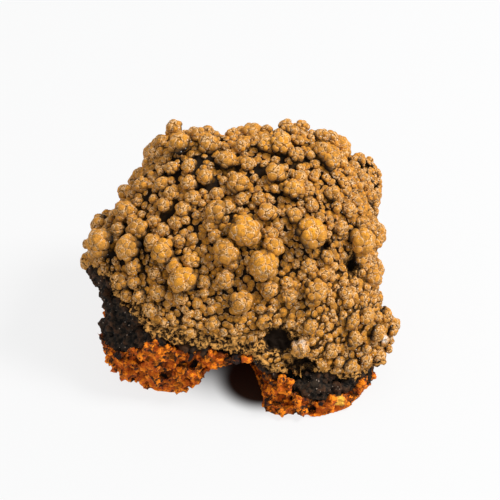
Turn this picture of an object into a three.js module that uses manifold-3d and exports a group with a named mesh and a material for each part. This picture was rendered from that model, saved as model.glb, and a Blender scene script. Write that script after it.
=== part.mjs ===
// A hand specimen of botryoidal mottramite: a brown knobbly crust on a black iron and manganese oxide
// layer, on a loose piece of orange gossan that stands on two front feet and its rough back.
// Millimetres, +Z up. The origin is at the middle of the specimen's footprint box, on the surface it rests on.
import * as THREE from "three";
import { ImprovedNoise } from "three/addons/math/ImprovedNoise.js";
import { mergeVertices } from "three/addons/utils/BufferGeometryUtils.js";
import Module from "manifold-3d";

const wasm = await Module();
wasm.setup();
const noise = new ImprovedNoise();

// The knobbly face looks out to the front and up. U runs right along it, V up it and W out of it.
const faceElevation = THREE.MathUtils.degToRad(40);
const faceRight = new THREE.Vector3(1, 0, 0);
const faceUp = new THREE.Vector3(0, Math.sin(faceElevation), Math.cos(faceElevation));
const faceOut = new THREE.Vector3(0, -Math.cos(faceElevation), Math.sin(faceElevation));
const faceCentre = new THREE.Vector3(-0.07, -0.62, 18.3);

// The body bulges in front of its widest section and behind it.
const frontBulge = 15;
const backBulge = 22;
const bulgePower = 2.4;

// How far each surface lies inside the body, at its rim and at its face.
const crustSkin = { rim: 1.4, face: 2.0 };
const crustBed = { rim: 4.6, face: 5.0 };
const oxideTop = { rim: 4.9, face: 5.3 };
const oxideSkin = { rim: 0.9, face: 3.3 };
const oxideBed = { rim: 7.0, face: 7.4 };
const gossanTop = { rim: 7.3, face: 7.7 };
const gossanSkin = { rim: 0.4, face: 2.6 };
const layerGap = 0.35;

// How far the broken surfaces stray from the even body, and how wide their lumps are.
const oxideRoughness = 0.9;
const gossanRoughness = 1.1;
const caveRoughness = 1;
const brokenLump = 7;
const caveLump = 5;

// How finely the skins and the beds under them are divided.
const skinDetail = 4;
const bedDetail = 3;

// The widest section's outline in U and V, anticlockwise from the right.
const bodyOutline = [
  [28, 0], [28.4, 6], [27.6, 11.2], [25.6, 17.6], [21.8, 23], [19.6, 26.8], [12, 29.4], [6, 28.6],
  [-3, 27.2], [-9, 29], [-14, 29], [-17.8, 24.6], [-21.4, 18.6], [-24.4, 13.8], [-28.6, 9.4], [-31.6, 4.8],
  [-30.8, 0.4], [-29.2, -3.4], [-27.6, -6.6], [-28.2, -12.4], [-27.6, -18], [-24.6, -22.4],
  [-18, -24], [-10, -25], [0, -29.6], [10, -33.6], [20.6, -30.6], [25, -26], [27.2, -20],
  [31, -16.8], [32, -13], [30.4, -9.6], [28.4, -5],
];

// The lower edges of the crust and of the black oxide where the specimen broke, left to right.
const crustEdge = [
  [-34, 2.2], [-30.4, 1.4], [-27.6, -0.4], [-25.4, -1], [-24.4, -4], [-23, -6.6], [-20.6, -8], [-18.6, -10.4],
  [-17.4, -12.4], [-11.6, -14.2], [-4.2, -15], [2.4, -16.2], [6.2, -19.4], [10.6, -19.8], [15.8, -19.4],
  [21.8, -21.2], [24.8, -19.8], [27, -18.8], [30, -17.6], [36, -16.5],
];
const oxideEdge = [
  [-36, -10], [-28, -11.2], [-26.2, -14.4], [-24, -15.8], [-19.6, -15.2], [-16.8, -13.8], [-11.4, -15.1],
  [-4, -15.9], [2.4, -17.2], [6.4, -20.6], [9.4, -23.2], [15.8, -25.6], [20, -24.2], [23.6, -22.8],
  [26.4, -20.4], [30.4, -18.8], [36, -17.6],
];

// The crust wraps over the rim and ends behind it, lower on the left than on the right.
const wrapDepth = 4;
const wrapSlope = 0.1;
const wrapRoughness = 1.6;

// A lobe of the body stands back from the face at the upper right.
const backLobe = { at: [23.8, 16.2, -5.5], size: [4.5, 7, 6] };

// The cave between the two front feet, and how rough the underside is. The cover layers stay off the ground.
const cave = { at: [-4, -23, -0.5], size: [7.4, 19, 14], lean: THREE.MathUtils.degToRad(35) };
const undersideRelief = 3;
const undersideLump = 11;
const flatShare = 0.1;
const coverClearance = 1.2;

// Broken pits in the gossan and in the oxide: U, V, half width, half height and depth.
const gossanPits = [
  [-21, -17.5, 2.6, 1.4, 2.2], [-15.5, -20.6, 2, 1.3, 2], [-10.5, -18.4, 2.4, 1.2, 2.4], [9, -26, 3, 1.6, 3],
  [16, -27.6, 3.4, 1.2, 2.6], [22.5, -25, 1.7, 1.6, 2], [4.6, -22.6, 1.5, 1.9, 2.2],
];
const oxidePits = [
  [-25.4, -4.6, 1.6, 2, 2], [-20.4, -11, 2.2, 1.3, 2], [10.4, -21, 3.6, 1.2, 3], [19.8, -21.8, 2.8, 1, 2.2],
];

// The crust's knobs: U, V and radius, by region. The smallest are left to the finish.
const knobs = [
  // upper left
  [-13.1, 28.2, 2.0], [-11.8, 24.8, 2.4], [-15.4, 25.2, 1.7], [-17, 23.4, 1.7], [-8.4, 26.6, 1.8],
  [-6.2, 24.8, 2.2], [-1.4, 26.8, 1.7], [-9.8, 20.4, 1.7], [-19.8, 19, 1.8], [-19.3, 16.8, 1.8],
  [-22.4, 15.4, 2.2], [-6.6, 18.2, 1.9], [-9.8, 17, 1.8], [-15.2, 16.8, 1.7], [-13.2, 15.1, 1.7],
  [-14.6, 12.9, 1.8], [-22.4, 11.5, 2.4], [-9.1, 14.1, 1.8], [-11, 12, 1.8], [-2.8, 21.4, 2.2],
  [0.4, 24.3, 1.7], [-0.4, 17, 2.3], [-4.5, 11.5, 2.4], [-5.7, 8.8, 1.7],
  // left
  [-28, 9.4, 2.0], [-27.5, 5.4, 2.9], [-19.8, 8, 2.2], [-14.9, 7.8, 1.7], [-21.7, 4.4, 2.6],
  [-14.9, 3.8, 2.5], [-17, 5.4, 1.9], [-2.6, 3.8, 2.8], [-9.5, 2.1, 2.0], [-11, -1.8, 2.8],
  [-12.5, 0.6, 2.0],
  // upper right
  [5.1, 24.4, 2.0], [8, 24.9, 2.4], [7, 19, 2.2], [10.5, 15.8, 2.3], [11.6, 18, 1.8], [9.2, 28.6, 1.7],
  [12.4, 28.8, 1.7], [11, 22.5, 1.8], [16.4, 23.3, 2.0], [16.1, 26.6, 1.8], [17.7, 21.6, 2.2],
  [18, 15, 1.8], [21.4, 11.8, 1.8],
  // middle
  [5.4, 11.2, 2.2], [10.5, 10.7, 1.8], [13.8, 7.2, 3.4], [1, 7.6, 3.1], [5.9, 7.2, 1.7], [6.4, 4.4, 2.3],
  [4.6, 1.1, 3.0], [-2.8, -1.8, 2.1], [13.4, 0.8, 1.7],
  // right
  [19.8, 8.3, 1.7], [23.9, 5.9, 2.8], [26.4, 8.3, 1.8], [27, 5.8, 1.8], [23.6, 2.6, 1.8], [24.2, 9.2, 1.8],
  [26.1, -1.4, 2.2], [20.5, -4.5, 1.7], [27, -5.5, 1.7],
  // lower middle
  [0.1, -6, 2.4], [5.7, -3.7, 1.9], [9.8, -5, 1.7], [4.7, -9.8, 1.7], [14.8, -4, 2.5], [13.6, -10.8, 1.8],
  [11.8, -15, 2.0],
  // lower right
  [22, -9.8, 1.7], [24.8, -9, 1.8], [28.7, -9, 1.7], [22.3, -13.4, 1.9], [26.9, -12.4, 1.7],
  [17.7, -15.7, 1.7], [24.6, -17.6, 1.7], [21.5, -18.6, 1.7], [27.4, -17, 1.7],
  // lower left
  [-20.7, 0.6, 1.9], [-23.2, -2, 2.0], [-19.4, -5, 1.7], [-17.4, -7.6, 1.7], [-15.8, -4.3, 1.9],
  [-5.2, -10.2, 1.7],
];

// The knobs on the lobe that stands back: U, V and radius.
const backLobeKnobs = [
  [23, 20.8, 1.5], [25.6, 20.2, 1.6], [27, 17.6, 1.6], [24.4, 18, 1.7], [23, 15.6, 1.6], [26.4, 14.8, 1.7],
  [24.6, 12.4, 1.6], [27.4, 12, 1.5],
];

// Knobs from this radius up are ground with more facets. Those that wrap behind the rim are plain.
const fineKnob = 2.6;
const rimKnobRadius = 2.1;
const rimKnobSpacing = 9;
const rimKnobRows = [-1.2, -3.6];

// A point given along and out of the face, in the part's frame.
function onFace(u, v, w) {
  return faceCentre
    .clone()
    .addScaledVector(faceRight, u)
    .addScaledVector(faceUp, v)
    .addScaledVector(faceOut, w);
}

const outlinePolar = bodyOutline
  .map(([u, v]) => ({ angle: Math.atan2(v, u), radius: Math.hypot(u, v) }))
  .sort((a, b) => a.angle - b.angle);

// The outline's distance from the face centre at an angle.
function outlineRadius(angle) {
  const count = outlinePolar.length;
  let next = outlinePolar.findIndex((point) => point.angle > angle);
  if (next < 0) next = 0;
  const a = outlinePolar[(next + count - 1) % count];
  const b = outlinePolar[next];
  const turn = 2 * Math.PI;
  const span = (b.angle - a.angle + turn) % turn;
  const share = ((angle - a.angle + turn) % turn) / span;
  return THREE.MathUtils.lerp(a.radius, b.radius, share * share * (3 - 2 * share));
}

// How far a skin of the body stands out of its widest section at a place on the face.
function skinHeight(u, v, skin) {
  const share = Math.min(Math.hypot(u, v) / (outlineRadius(Math.atan2(v, u)) - skin.rim), 1);
  return (frontBulge - skin.face) * (1 - share ** bulgePower) ** (1 / bulgePower);
}

// Rock relief at a point: broad lumps and smaller bites, between about -1 and 1.
function relief(point, size) {
  const p = point.clone().divideScalar(size);
  return noise.noise(p.x, p.y, p.z) + 0.5 * noise.noise(2.1 * p.x + 7, 2.1 * p.y, 2.1 * p.z + 3);
}

function solidFrom(geometry) {
  const bare = geometry.clone();
  bare.deleteAttribute("normal");
  bare.deleteAttribute("uv");
  const merged = mergeVertices(bare, 1e-4);
  return new wasm.Manifold(
    new wasm.Mesh({
      numProp: 3,
      vertProperties: merged.attributes.position.array,
      triVerts: new Uint32Array(merged.index.array),
    }),
  );
}

function geometryFrom(solid) {
  const { vertProperties, triVerts } = solid.getMesh();
  const geometry = new THREE.BufferGeometry();
  geometry.setAttribute("position", new THREE.BufferAttribute(new Float32Array(vertProperties), 3));
  geometry.setIndex(new THREE.BufferAttribute(new Uint32Array(triVerts), 1));
  return geometry;
}

// Moves every vertex of a geometry to the point that a function gives for it.
function reshape(geometry, move) {
  const position = geometry.attributes.position;
  const point = new THREE.Vector3();
  for (let i = 0; i < position.count; i += 1) {
    point.fromBufferAttribute(position, i);
    position.setXYZ(i, ...move(point).toArray());
  }
  return geometry;
}

// The whole body at one depth, with rock relief where it was broken.
function bodySkin(skin, roughness = 0, detail = skinDetail) {
  return solidFrom(
    reshape(new THREE.IcosahedronGeometry(1, detail), (p) => {
      const across = Math.min(Math.hypot(p.x, p.y), 1);
      const angle = across < 1e-6 ? 0 : Math.atan2(p.y, p.x);
      const reach = (outlineRadius(angle) - skin.rim) * across ** (2 / bulgePower);
      const bulge = p.z > 0 ? frontBulge - skin.face : backBulge - skin.face;
      const height = Math.sign(p.z) * bulge * Math.abs(p.z) ** (2 / bulgePower);
      const point = onFace(reach * Math.cos(angle), reach * Math.sin(angle), height);
      const outward = point.clone().sub(faceCentre).normalize();
      return point.addScaledVector(outward, roughness * relief(point, brokenLump));
    }),
  );
}

// Everything above an edge drawn across the face, straight through the body, dropped by a gap.
function aboveEdge(edge, gap = 0) {
  const reach = 60;
  const corners = [[reach, edge.at(-1)[1]], [reach, reach], [-reach, reach], [-reach, edge[0][1]]];
  const shape = new THREE.Shape([...edge, ...corners].map(([u, v]) => new THREE.Vector2(u, v - gap)));
  const block = new THREE.ExtrudeGeometry(shape, { depth: 2 * reach, bevelEnabled: false, steps: 1 });
  return solidFrom(reshape(block, (p) => onFace(p.x, p.y, p.z - reach)));
}

// Everything in front of the rough line behind the rim where the crust ends, moved back by a gap.
function beforeWrap(gap = 0) {
  const side = 120;
  const block = new THREE.BoxGeometry(side, side, side, 12, 12, 1);
  return solidFrom(
    reshape(block, (p) => {
      const rough = wrapRoughness * relief(new THREE.Vector3(p.x, p.y, 5), 6);
      const level = -wrapDepth - wrapSlope * p.x + rough - gap;
      return onFace(p.x, p.y, p.z < 0 ? level : side);
    }),
  );
}

// A ball with its own half sizes along U, V and W.
function faceBall([u, v, w], [a, b, c]) {
  const ball = new THREE.IcosahedronGeometry(1, 1);
  return solidFrom(reshape(ball, (p) => onFace(u + a * p.x, v + b * p.y, w + c * p.z)));
}

// A rough ball with its own half sizes along X, Y and Z, leaning to the right.
function worldBall({ at, size, lean }, roughness) {
  const ball = new THREE.IcosahedronGeometry(1, 2);
  const up = new THREE.Vector3(0, 1, 0);
  const centre = new THREE.Vector3(...at);
  return solidFrom(
    reshape(ball, (p) => {
      const point = p.clone().multiply(new THREE.Vector3(...size)).applyAxisAngle(up, lean).add(centre);
      return point.addScaledVector(p, roughness * relief(point, caveLump));
    }),
  );
}

// The ground, and the parts of the underside that don't touch it. A clearance keeps a layer off the ground.
function floorBlock(clearance = 0) {
  const side = 90;
  const block = new THREE.BoxGeometry(side, side, side, 18, 18, 1);
  return solidFrom(
    reshape(block, (p) => {
      const rough = relief(new THREE.Vector3(p.x, p.y, 9), undersideLump);
      const lift = undersideRelief * Math.max(0, rough - flatShare);
      return new THREE.Vector3(p.x, p.y, p.z > 0 ? lift + clearance : -side);
    }),
  );
}

function pitIn(skin, [u, v, a, b, depth]) {
  return faceBall([u, v, skinHeight(u, v, skin)], [a, b, depth]);
}

// A knob with its middle on the crust. The big ones stand further out of it.
function knobAt([u, v, radius], height) {
  const reach = outlineRadius(Math.atan2(v, u)) - crustSkin.rim + 0.4 * radius;
  const pull = Math.min(1, reach / Math.hypot(u, v));
  const lift = radius * THREE.MathUtils.clamp(0.4 * radius - 0.3, 0.1, 0.8);
  const ball = new THREE.IcosahedronGeometry(radius, radius < fineKnob ? 0 : 1);
  const centre = onFace(u * pull, v * pull, height + lift);
  return solidFrom(ball.translate(...centre.toArray()));
}

function faceKnobs() {
  return knobs.map((knob) => knobAt(knob, skinHeight(knob[0], knob[1], crustSkin)));
}

function lobeKnobs() {
  const [u0, v0, w0] = backLobe.at;
  const [a, b, c] = backLobe.size;
  return backLobeKnobs.map((knob) => {
    const share = Math.min(Math.hypot((knob[0] - u0) / a, (knob[1] - v0) / b), 1);
    return knobAt(knob, w0 + c * Math.sqrt(1 - share * share));
  });
}

// Small knobs in rows behind the rim, from the right round over the top to the left.
function rimKnobs() {
  const made = [];
  rimKnobRows.forEach((row, index) => {
    let angle = -0.35 + 0.06 * index;
    while (angle < Math.PI) {
      const rim = outlineRadius(angle) - crustSkin.rim;
      const share = (1 - (-row / backBulge) ** bulgePower) ** (1 / bulgePower);
      const radius = rimKnobRadius * (1 + 0.3 * Math.sin(9 * angle + index));
      const [u, v] = [rim * share * Math.cos(angle), rim * share * Math.sin(angle)];
      const ball = new THREE.IcosahedronGeometry(radius, 0);
      made.push(solidFrom(ball.translate(...onFace(u, v, row).toArray())));
      angle += rimKnobSpacing / rim;
    }
  });
  return made;
}

function makeCrust() {
  const skin = bodySkin(crustSkin).add(faceBall(backLobe.at, backLobe.size));
  const grown = wasm.Manifold.union([skin, ...faceKnobs(), ...lobeKnobs(), ...rimKnobs()]);
  return grown
    .intersect(aboveEdge(crustEdge))
    .intersect(beforeWrap())
    .subtract(bodySkin(crustBed, 0, bedDetail))
    .subtract(floorBlock(coverClearance));
}

function makeOxide() {
  const crustSpace = aboveEdge(crustEdge, layerGap)
    .intersect(beforeWrap(layerGap))
    .subtract(bodySkin(oxideTop, 0, bedDetail));
  const pits = oxidePits.map((pit) => pitIn(oxideSkin, pit));
  return bodySkin(oxideSkin, oxideRoughness)
    .intersect(aboveEdge(oxideEdge))
    .intersect(beforeWrap())
    .subtract(bodySkin(oxideBed, 0, bedDetail))
    .subtract(crustSpace)
    .subtract(wasm.Manifold.union(pits))
    .subtract(floorBlock(coverClearance));
}

function makeGossan() {
  const coverSpace = aboveEdge(oxideEdge, layerGap)
    .intersect(beforeWrap(layerGap))
    .subtract(bodySkin(gossanTop, 0, bedDetail))
    .subtract(floorBlock(coverClearance - layerGap));
  const pits = gossanPits.map((pit) => pitIn(gossanSkin, pit));
  return bodySkin(gossanSkin, gossanRoughness)
    .subtract(coverSpace)
    .subtract(worldBall(cave, caveRoughness))
    .subtract(floorBlock())
    .subtract(wasm.Manifold.union(pits));
}

// The largest body of a solid: crumbs that a cut leaves loose are dropped.
function largest(solid) {
  return solid.decompose().reduce((best, body) => (body.volume() > best.volume() ? body : best));
}

function piece(name, solid, color, roughness) {
  const material = new THREE.MeshStandardMaterial({ color, roughness, metalness: 0, flatShading: true });
  const mesh = new THREE.Mesh(geometryFrom(largest(solid)), material);
  mesh.name = name;
  return mesh;
}

const specimen = new THREE.Group();
specimen.name = "mottramite_specimen";
specimen.add(
  piece("mottramite_crust", makeCrust(), 0x9a6b34, 0.55),
  piece("black_oxide_layer", makeOxide(), 0x231b17, 0.7),
  piece("gossan_matrix", makeGossan(), 0xa8480e, 0.9),
);

export default specimen;
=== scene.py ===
import math
import random

import bpy
import numpy as np
from mathutils import Matrix, Vector
from mathutils.kdtree import KDTree


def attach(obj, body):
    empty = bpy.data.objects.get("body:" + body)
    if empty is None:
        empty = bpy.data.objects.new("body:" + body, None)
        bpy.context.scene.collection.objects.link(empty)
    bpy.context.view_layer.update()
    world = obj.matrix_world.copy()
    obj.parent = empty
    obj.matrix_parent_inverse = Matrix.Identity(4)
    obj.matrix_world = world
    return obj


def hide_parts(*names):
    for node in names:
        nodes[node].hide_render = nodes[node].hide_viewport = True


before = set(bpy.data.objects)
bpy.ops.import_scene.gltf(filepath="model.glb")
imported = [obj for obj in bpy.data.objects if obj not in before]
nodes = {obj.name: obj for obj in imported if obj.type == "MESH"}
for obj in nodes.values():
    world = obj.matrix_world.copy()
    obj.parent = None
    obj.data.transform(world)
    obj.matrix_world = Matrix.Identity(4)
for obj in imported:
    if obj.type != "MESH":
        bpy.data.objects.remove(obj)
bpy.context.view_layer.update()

mm = 0.001

# The knobbly face looks out to the front and up. U runs right along it, V up it and W out of it.
body = {
    "centre": (-0.07, -0.62, 18.3),  # millimetres, in the part's frame, as all that follow
    "elevation": 40,  # degrees
    "frontBulge": 15,
    "backBulge": 22,
    "power": 2.4,  # how boxy its bulges are: 2 is round
    "skinRim": 1.4,  # how far the crust's skin lies inside the widest outline
    "skinFace": 2.0,  # and inside the front bulge
    "outline": [
        (28, 0), (28.4, 6), (27.6, 11.2), (25.6, 17.6), (21.8, 23), (19.6, 26.8), (12, 29.4), (6, 28.6),
        (-3, 27.2), (-9, 29), (-14, 29), (-17.8, 24.6), (-21.4, 18.6), (-24.4, 13.8), (-28.6, 9.4),
        (-31.6, 4.8), (-30.8, 0.4), (-29.2, -3.4), (-27.6, -6.6), (-28.2, -12.4), (-27.6, -18),
        (-24.6, -22.4), (-18, -24), (-10, -25), (0, -29.6), (10, -33.6), (20.6, -30.6), (25, -26),
        (27.2, -20), (31, -16.8), (32, -13), (30.4, -9.6), (28.4, -5),
    ],
    "crustEdge": [
        (-34, 2.2), (-30.4, 1.4), (-27.6, -0.4), (-25.4, -1), (-24.4, -4), (-23, -6.6), (-20.6, -8),
        (-18.6, -10.4), (-17.4, -12.4), (-11.6, -14.2), (-4.2, -15), (2.4, -16.2), (6.2, -19.4),
        (10.6, -19.8), (15.8, -19.4), (21.8, -21.2), (24.8, -19.8), (27, -18.8), (30, -17.6),
        (36, -16.5),
    ],
}

faceRight = Vector((1, 0, 0))
tilt = math.radians(body["elevation"])
faceUp = Vector((0, math.sin(tilt), math.cos(tilt)))
faceOut = Vector((0, -math.cos(tilt), math.sin(tilt)))
faceCentre = Vector(body["centre"])
outlinePolar = sorted((math.atan2(v, u), math.hypot(u, v)) for u, v in body["outline"])


def onFace(u, v, w):
    return (faceCentre + faceRight * u + faceUp * v + faceOut * w) * mm


def outlineRadius(angle):
    count = len(outlinePolar)
    after = next((i for i, point in enumerate(outlinePolar) if point[0] > angle), 0)
    angleA, radiusA = outlinePolar[(after - 1) % count]
    angleB, radiusB = outlinePolar[after]
    turn = 2 * math.pi
    share = ((angle - angleA) % turn) / ((angleB - angleA) % turn)
    share = share * share * (3 - 2 * share)
    return radiusA + (radiusB - radiusA) * share


def skinHeight(u, v):
    reach = outlineRadius(math.atan2(v, u)) - body["skinRim"]
    share = min(math.hypot(u, v) / reach, 1)
    return (body["frontBulge"] - body["skinFace"]) * (1 - share ** body["power"]) ** (1 / body["power"])


def edgeLevel(u):
    # How high the crust's broken lower edge is at a place along the face
    return float(np.interp(u, [p[0] for p in body["crustEdge"]], [p[1] for p in body["crustEdge"]]))


def selectOnly(*objects):
    bpy.ops.object.select_all(action="DESELECT")
    for thing in objects:
        thing.select_set(True)
    bpy.context.view_layer.objects.active = objects[0]


def applyModifier(thing, kind, **settings):
    selectOnly(thing)
    modifier = thing.modifiers.new(kind.lower(), kind)
    for key, value in settings.items():
        setattr(modifier, key, value)
    bpy.ops.object.modifier_apply(modifier=modifier.name)


def triangleCount(thing):
    return sum(len(face.vertices) - 2 for face in thing.data.polygons)


def mergedCopy(node, name):
    thing = bpy.data.objects.new(name, nodes[node].data.copy())
    thing.data.materials.clear()
    bpy.context.scene.collection.objects.link(thing)
    selectOnly(thing)
    bpy.ops.object.mode_set(mode="EDIT")
    bpy.ops.mesh.select_all(action="SELECT")
    bpy.ops.mesh.remove_doubles(threshold=0.000002)
    bpy.ops.object.mode_set(mode="OBJECT")
    return thing


def placeCopy(model, matrix):
    thing = bpy.data.objects.new(model.name + "Copy", model.data.copy())
    thing.matrix_world = matrix
    bpy.context.scene.collection.objects.link(thing)
    return thing


def joinInto(base, others):
    selectOnly(base, *others)
    bpy.ops.object.join()
    return base


def discard(*objects):
    for thing in objects:
        bpy.data.objects.remove(thing)


def roughen(thing, name, size, height, kind="CLOUDS", middle=0.5, group=""):
    texture = bpy.data.textures.new(name, kind)
    texture.noise_scale = size * mm
    if kind == "CLOUDS":
        texture.noise_depth = 2
    applyModifier(thing, "DISPLACE", texture=texture, texture_coords="LOCAL",
                  strength=height * mm, mid_level=middle, vertex_group=group)


def limitTriangles(thing, most):
    count = triangleCount(thing)
    if count > most:
        applyModifier(thing, "DECIMATE", ratio=most / count)


def vertexArrays(thing):
    mesh = thing.data
    places = np.empty(len(mesh.vertices) * 3, dtype=np.float32)
    mesh.vertices.foreach_get("co", places)
    normals = np.empty(len(mesh.vertices) * 3, dtype=np.float32)
    mesh.vertices.foreach_get("normal", normals)
    return places.reshape(-1, 3) / mm, normals.reshape(-1, 3)


def standOut(thing, steps):
    # How far each point stands out of the mesh smoothed by that many steps, in millimetres
    places, normals = vertexArrays(thing)
    edges = np.empty(len(thing.data.edges) * 2, dtype=np.int32)
    thing.data.edges.foreach_get("vertices", edges)
    ends = edges.reshape(-1, 2)
    count = len(places)
    near = np.bincount(ends.ravel(), minlength=count)[:, None].clip(1)
    smooth = places.copy()
    for step in range(steps):
        total = np.stack([
            np.bincount(ends[:, 0], smooth[ends[:, 1], axis], count)
            + np.bincount(ends[:, 1], smooth[ends[:, 0], axis], count)
            for axis in range(3)
        ], axis=1)
        smooth = 0.5 * smooth + 0.5 * total / near
    return ((places - smooth) * normals).sum(axis=1)


def keepValues(thing, name, values):
    layer = thing.data.attributes.new(name, "FLOAT", "POINT")
    layer.data.foreach_set("value", np.asarray(values, dtype=np.float32))


def ramp(values, low, high):
    share = np.clip((values - low) / (high - low), 0, 1)
    return share * share * (3 - 2 * share)


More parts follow.
